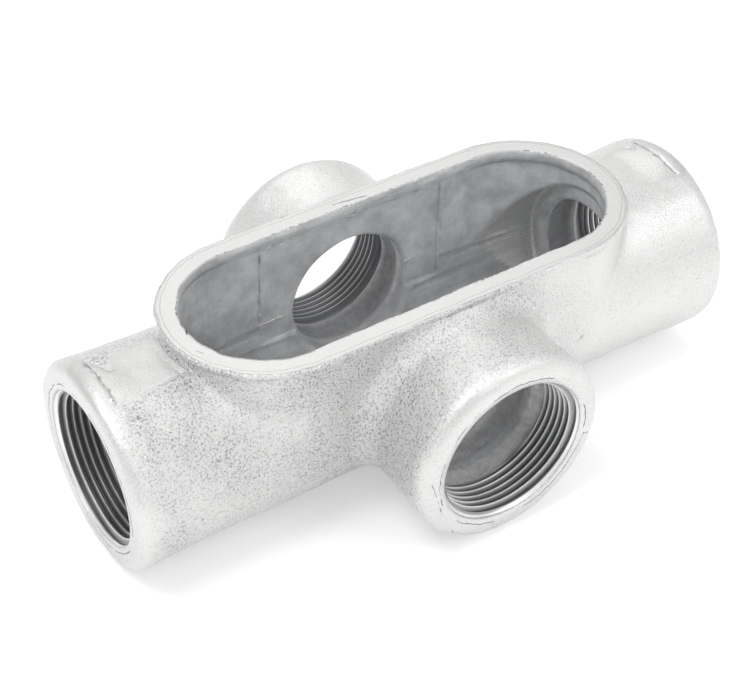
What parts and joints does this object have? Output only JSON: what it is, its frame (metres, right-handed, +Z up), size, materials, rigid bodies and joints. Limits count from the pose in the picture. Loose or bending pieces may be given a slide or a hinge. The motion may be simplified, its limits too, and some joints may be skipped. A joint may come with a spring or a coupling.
{
  "type": "conduit body",
  "caption": "Cross-shaped cast conduit body: round barrel with a tapped hub at each end, two side hubs, and a wiring chamber open through an obround rim.",
  "frame": {"origin": "below the crossing of the hub axes, on the underside of the barrel", "axes": "+X along the barrel from hub to hub, +Y along the side hubs, +Z up through the opening"},
  "size_m": [0.2086, 0.1186, 0.0671],
  "materials": {
    "casting": "sand-cast aluminium, matte light grey enamel over a fine orange-peel skin; rim face ground smooth"
  },
  "bodies": {
    "root": {"conduit_body": "casting"}
  },
  "joints": []
}
